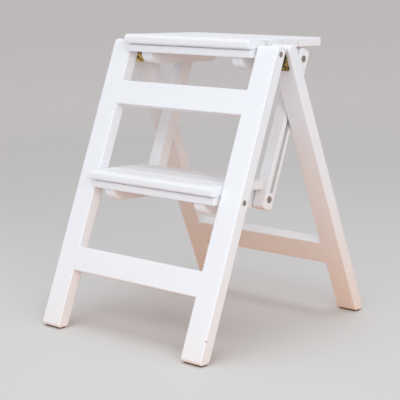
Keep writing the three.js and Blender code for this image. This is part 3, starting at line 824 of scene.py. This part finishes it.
class StoolAprons(bpy.types.Operator):
    """Adds the moulding under each nosing and the two bearers under each tread"""

    bl_idname = "stool.aprons"
    bl_label = "Aprons and bearers"

    def execute(self, context):
        sizes = context.scene.stool_sizes
        gap = sizes.fit_gap
        for tread in TREADS:
            front = sizes.apron_setback - sizes.nose_reach
            back = front + sizes.apron_depth
            step = tread_top(tread) - sizes.nosing - gap
            floor = step - sizes.apron_height
            self.moulding(sizes, tread, front, back, step, floor)
            for name, side in SIDES:
                self.bearer(sizes, tread, name, side, back + gap, step, floor - gap)
        return {"FINISHED"}

    def moulding(self, sizes, tread, front, back, step, floor):
        """The batten under a nosing, with a narrow groove between the two."""
        top = step + sizes.fit_gap
        ledge = top - sizes.quirk_height
        quirk_back = front + sizes.quirk_depth
        outline = [(front, floor, sizes.apron_edge), (back, floor, sizes.apron_edge),
                   (back, top, LIP), (quirk_back, top, 0), (quirk_back, ledge, 0),
                   (front, ledge, sizes.apron_end)]
        low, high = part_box(f"{tread}_apron")
        mesh = bar_mesh(f"moulding_{tread}", outline, low.x, high.x, sizes.apron_end)
        radius, inner, outer = sizes.screw_hole - SNUG, high.x - sizes.apron_bore, high.x + OVERRUN
        bores = [plain_bore(radius, inner * side, outer * side) for _, side in SIDES]
        mesh = drilled(mesh, bores, [Vector((0, 0, 0))], f"moulding_{tread}")
        paint_piece(f"moulding_{tread}", mesh, 0, f"{tread}_tread", tread_axes(tread),
                    f"{tread}_apron")

    def bearer(self, sizes, tread, name, side, notch, step, floor):
        """A bearer on edge, notched at its front for the nosing and the moulding."""
        top = tread_top(tread) - sizes.board - sizes.fit_gap
        bottom = top - sizes.bearer_height
        edges = board_edges(tread)
        notch_back = edges[0][1] + sizes.board_gap / 2
        if tread == "upper":
            front = sizes.upper_bearer_setback - sizes.nose_reach
            rear = edges[-1][1] - sizes.bearer_rear_inset
        else:
            front = sizes.lower_bearer_setback - sizes.nose_reach
            rear = sizes.bolt_back + sizes.beyond_bolt
        outline = [(front, bottom, sizes.bearer_front_round), (rear, bottom, sizes.bearer_rear_round),
                   (rear, top, sizes.board_round), (notch_back, top, 0), (notch_back, step, 0),
                   (notch, step, 0), (notch, floor, 0), (front, floor, 0)]
        node = f"{tread}_bearer_{name}"
        low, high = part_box(node)
        mesh = bar_mesh(f"bearer_{tread}_{name}", outline, low.x, high.x, sizes.bearer_edge)
        near, far = sorted((abs(low.x), abs(high.x)))
        start, end = span(side, near + sizes.bearer_wall, far + OVERRUN)
        bolt = Vector((0, sizes.bolt_back, -sizes.bolt_drop))
        mesh = drilled(mesh, [plain_bore(sizes.bolt_hole - SNUG, start, end)], [bolt],
                       f"bearer_{tread}_{name}")
        paint_piece(f"bearer_{tread}_{name}", mesh, 1, f"{tread}_tread", tread_axes(tread), node)


class StoolSideBars(bpy.types.Operator):
    """Adds the two grooved side bars that hang from the bolts of the upper tread"""

    bl_idname = "stool.side_bars"
    bl_label = "Side bars"

    def execute(self, context):
        sizes = context.scene.stool_sizes
        axes = side_axes(places["left_link_swing"], -sizes.front_lean)
        lower = (places["lower_tread_fold"] - places["upper_tread_fold"]).length
        half = sizes.bar_depth / 2
        for name, side in SIDES:
            node = f"link_{name}"
            low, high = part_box(node)
            outline = rectangle(-half, half, -lower - sizes.bar_end, sizes.bar_end,
                                sizes.bar_round, sizes.bar_round)
            mesh = bar_mesh(f"side_bar_{name}", outline, low.x, high.x, sizes.bar_edge)
            outside, inside = (high.x, low.x) if side > 0 else (low.x, high.x)
            bolts = [Vector((0, 0, level)) for level in (0, -lower)]
            bore = recessed_bore(side, outside, inside, sizes.bolt_hole, sizes.bolt_recess,
                                 sizes.bolt_recess_depth)
            mesh = drilled(mesh, [bore], bolts, f"side_bar_{name}")
            pin = axes.inverted() @ (
                (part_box(f"slot_pin_{name}")[0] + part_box(f"slot_pin_{name}")[1]) / 2)
            bottom = sizes.groove_end - lower
            mesh = cut_mesh(mesh, self.groove(sizes, side, outside, pin.z, bottom),
                            f"side_bar_{name}_groove")
            # Painted shade in the groove and in the bolt recesses.
            shade_depth = context.scene.stool_finish.groove_shade
            run = (bottom, pin.z, sizes.groove_offset, sizes.groove_half + 0.5 * MM, shade_depth)
            mark_painted_shade(mesh, [run, *shaded_recesses(bolts, sizes.bolt_recess)])
            paint_piece(f"side_bar_{name}", mesh, 2, f"{name}_link", axes, node)
        return {"FINISHED"}

    def groove(self, sizes, side, outside, top, bottom):
        """A round-ended slot along the bar, cut in from its outer face, with a broken edge."""
        cutter = bmesh.new()
        depths = [(outside - side * sizes.groove_depth, 0), (outside - side * LIP, 0),
                  (outside, LIP), (outside + side * OVERRUN, LIP)]
        steps = 16
        rings = []
        for x, wider in depths:
            radius = sizes.groove_half + wider
            ring = []
            for centre, start in ((top, 0.0), (bottom, math.pi)):
                for step in range(steps + 1):
                    turn = start + math.pi * step / steps
                    ring.append(cutter.verts.new((x, sizes.groove_offset + radius * math.cos(turn),
                                                  centre + radius * math.sin(turn))))
            rings.append(ring)
        skin_rings(cutter, rings)
        return cutter


class StoolHinges(bpy.types.Operator):
    """Gives the two brass butt hinges their finish and adds their eight countersunk screws"""

    bl_idname = "stool.hinges"
    bl_label = "Hinges"

    def execute(self, context):
        sizes = context.scene.stool_sizes
        for name, side in SIDES:
            for node in (f"hinge_front_leaf_{name}", f"hinge_rear_leaf_{name}", f"hinge_pin_{name}"):
                dress_node(node, brass())
            low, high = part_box(f"hinge_front_leaf_{name}")
            middle = (low.x + high.x) / 2
            for where, facing, axes in (("front", -1, front_axes()), ("rear", 1, rear_axes())):
                face = facing * (sizes.knuckle - sizes.leaf)
                for row, drop in enumerate((sizes.upper_screw_drop, sizes.lower_screw_drop)):
                    piece = f"hinge_screw_{where}_{name}_{row + 1}"
                    mesh = self.screw(piece, Vector((middle, face, -drop)), facing, sizes)
                    finish_piece(piece, mesh, brass(0.45), f"{where}_frame", axes, smooth=28)
        return {"FINISHED"}

    def screw(self, name, centre, facing, sizes):
        """A countersunk screw set in a leaf, with a cross recess in its head."""
        work = bmesh.new()
        head, shank, leaf = sizes.screw_head, sizes.screw_shank, sizes.leaf
        profile = [(0, 0.12 * MM), (head - 0.25 * MM, 0.12 * MM), (head, 0.28 * MM), (shank, leaf),
                   (shank, leaf + 4 * MM), (0.3 * MM, leaf + 6 * MM), (0, leaf + 6.1 * MM)]
        add_lathe(work, [(radius, facing * place) for radius, place in profile], centre, 1, 28)
        mesh = mesh_from(work, name)
        outer, inner = centre.copy(), centre.copy()
        outer.y -= facing * 0.5 * MM
        inner.y += facing * 1.1 * MM
        slot, bar, tip = 0.35 * MM, 1.7 * MM, 0.7 * MM
        for wide, tall in ((slot, bar), (bar, slot)):
            cutter = bmesh.new()
            rings = []
            for middle, half_x, half_z in ((outer, wide, tall),
                                           (inner, min(wide, tip) * 0.8, min(tall, tip) * 0.8)):
                rings.append([cutter.verts.new(middle + Vector((a * half_x, 0, b * half_z)))
                              for a, b in ((-1, -1), (1, -1), (1, 1), (-1, 1))])
            skin_rings(cutter, rings)
            mesh = cut_mesh(mesh, cutter, name)
        return mesh


class StoolFasteners(bpy.types.Operator):
    """Gives the bolts, screws, washers and groove pins their finish"""

    bl_idname = "stool.fasteners"
    bl_label = "Fasteners"

    def execute(self, context):
        for name, _ in SIDES:
            for tread in TREADS:
                dress_node(f"{tread}_link_bolt_{name}", zinc_steel())
                dress_node(f"{tread}_pivot_screw_{name}", zinc_steel())
                dress_node(f"{tread}_link_washer_{name}", nylon())
            dress_node(f"slot_pin_{name}", zinc_steel())
        return {"FINISHED"}


class StoolFootPads(bpy.types.Operator):
    """Adds the felt pads under the four feet"""

    bl_idname = "stool.foot_pads"
    bl_label = "Foot pads"

    def execute(self, context):
        sizes = context.scene.stool_sizes
        for name, _ in SIDES:
            for where in ("front", "rear"):
                node = f"foot_pad_{where}_{name}"
                low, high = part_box(node)
                outline = rectangle(low.y, high.y, low.z, high.z, sizes.pad_edge, 0.5 * MM)
                pad = f"pad_{where}_{name}"
                mesh = bar_mesh(pad, outline, low.x, high.x, sizes.pad_edge, 4)
                finish_piece(pad, mesh, felt(), f"{where}_frame", None, [node])
        return {"FINISHED"}


class StoolScene(bpy.types.Operator):
    """Adds the floor, the lamps, the room light and the camera"""

    bl_idname = "stool.stage"
    bl_label = "Stage"

    def execute(self, context):
        stage = context.scene.stool_stage
        context.scene.view_settings.view_transform = "Standard"
        self.floor(stage)
        self.room(context, stage)
        self.lamp("front_lamp", stage, stage.front_place, stage.front_power)
        self.lamp("side_lamp", stage, stage.side_place, stage.side_power, mirrored=False)
        self.lamp("top_lamp", stage, stage.top_place, stage.top_power)
        self.camera(context, stage)
        return {"FINISHED"}

    def floor(self, stage):
        """A wide round floor: pale to the camera, and warm in the light that it throws back."""
        work = bmesh.new()
        bmesh.ops.create_circle(work, cap_ends=True, segments=96, radius=stage.floor_radius)
        mesh = mesh_from(work, "floor")
        floor = linked("floor", mesh)
        material = bpy.data.materials.new("floor")
        nodes = Nodes(material)
        place = nodes.place()
        under = nodes.distance(place, stage.floor_warm_place)
        away = nodes.above(under, 0.5 * stage.floor_reach, 1.5 * stage.floor_reach)
        bounce = nodes.mix(away, stage.floor_near, stage.floor_far)
        seen = nodes.add("ShaderNodeLightPath", out=0)
        off = nodes.distance(place, (0, 0, 0))
        distant = nodes.above(off, stage.floor_fade_from, stage.floor_fade_to)
        shown = nodes.mix(distant, stage.floor_seen, stage.floor_seen_far)
        colour = nodes.mix(seen, bounce, shown)
        nodes.close({"Base Color": colour, "Roughness": 0.75, "Specular IOR Level": 0.2})
        mesh.materials.append(material)

    def room(self, context, stage):
        world = bpy.data.worlds.new("room")
        context.scene.world = world
        nodes = Nodes(world)
        light = nodes.add("ShaderNodeBackground", None,
                          {"Color": stage.sky, "Strength": stage.sky_strength})
        nodes.add("ShaderNodeOutputWorld", None, {"Surface": light})

    def lamp(self, name, stage, place, watts, mirrored=True):
        """A large square lamp turned to the stool; one that isn't mirrored leaves no glare."""
        light = bpy.data.lights.new(name, "AREA")
        light.shape = "SQUARE"
        light.size = stage.lamp_size
        light.spread = stage.lamp_spread
        light.energy = watts
        light.color = stage.lamp_tint
        lamp = linked(name, light)
        lamp.location = place
        lamp.rotation_euler = (Vector(stage.aim) - Vector(place)).to_track_quat("-Z", "Y").to_euler()
        lamp.visible_glossy = mirrored

    def camera(self, context, stage):
        turn, down, roll = stage.camera_turn, stage.camera_down, stage.camera_roll
        view = Vector((-math.sin(turn) * math.cos(down), math.cos(turn) * math.cos(down),
                       -math.sin(down)))
        level = Vector((math.cos(turn), math.sin(turn), 0))
        upright = level.cross(view)
        across = level * math.cos(roll) + upright * math.sin(roll)
        upward = upright * math.cos(roll) - level * math.sin(roll)
        lens = bpy.data.cameras.new("camera")
        lens.sensor_fit = "HORIZONTAL"
        lens.sensor_width = 36
        lens.lens = stage.lens
        lens.clip_end = 200
        camera = linked("camera", lens)
        turned = Matrix((across, upward, -view)).transposed().to_4x4()
        camera.matrix_world = Matrix.Translation(stage.camera_place) @ turned
        context.scene.camera = camera


def dress_node(node, material):
    """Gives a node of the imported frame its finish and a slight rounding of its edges."""
    piece = frame["nodes"][node]
    piece.data.materials.clear()
    piece.data.materials.append(material)
    weld = piece.modifiers.new("one_skin", "WELD")
    weld.merge_threshold = 0.01 * MM
    soft = piece.modifiers.new("broken_edges", "BEVEL")
    soft.width = 0.15 * MM
    soft.segments = 2
    soft.limit_method = "ANGLE"
    soft.angle_limit = math.radians(40)


PIECE_OPERATORS = (StoolLegs, StoolRails, StoolBoards, StoolAprons, StoolSideBars, StoolHinges,
                   StoolFasteners, StoolFootPads, StoolScene)


class StoolPanel(bpy.types.Panel):
    """Lists the stool's pieces and its sizes"""

    bl_idname = "VIEW3D_PT_stool"
    bl_label = "Folding Step Stool"
    bl_space_type = "VIEW_3D"
    bl_region_type = "UI"
    bl_category = "Stool"

    def draw(self, context):
        column = self.layout.column(align=True)
        for operator in PIECE_OPERATORS:
            column.operator(operator.bl_idname)
        scene = context.scene
        for group in (scene.stool_sizes, scene.stool_finish, scene.stool_stage):
            box = self.layout.box()
            for name in group.bl_rna.properties.keys():
                if name not in ("rna_type", "name"):
                    box.prop(group, name)


CLASSES = (StoolSizes, StoolFinish, StoolStage, *PIECE_OPERATORS, StoolPanel)


def register():
    for item in CLASSES:
        bpy.utils.register_class(item)
    bpy.types.Scene.stool_sizes = PointerProperty(type=StoolSizes)
    bpy.types.Scene.stool_finish = PointerProperty(type=StoolFinish)
    bpy.types.Scene.stool_stage = PointerProperty(type=StoolStage)


def unregister():
    for name in ("stool_sizes", "stool_finish", "stool_stage"):
        delattr(bpy.types.Scene, name)
    for item in reversed(CLASSES):
        bpy.utils.unregister_class(item)


def main():
    register()
    bpy.ops.stool.legs()
    bpy.ops.stool.rails()
    bpy.ops.stool.boards()
    bpy.ops.stool.aprons()
    bpy.ops.stool.side_bars()
    bpy.ops.stool.hinges()
    bpy.ops.stool.fasteners()
    bpy.ops.stool.foot_pads()
    bpy.ops.stool.stage()


if __name__ == "__main__":
    main()
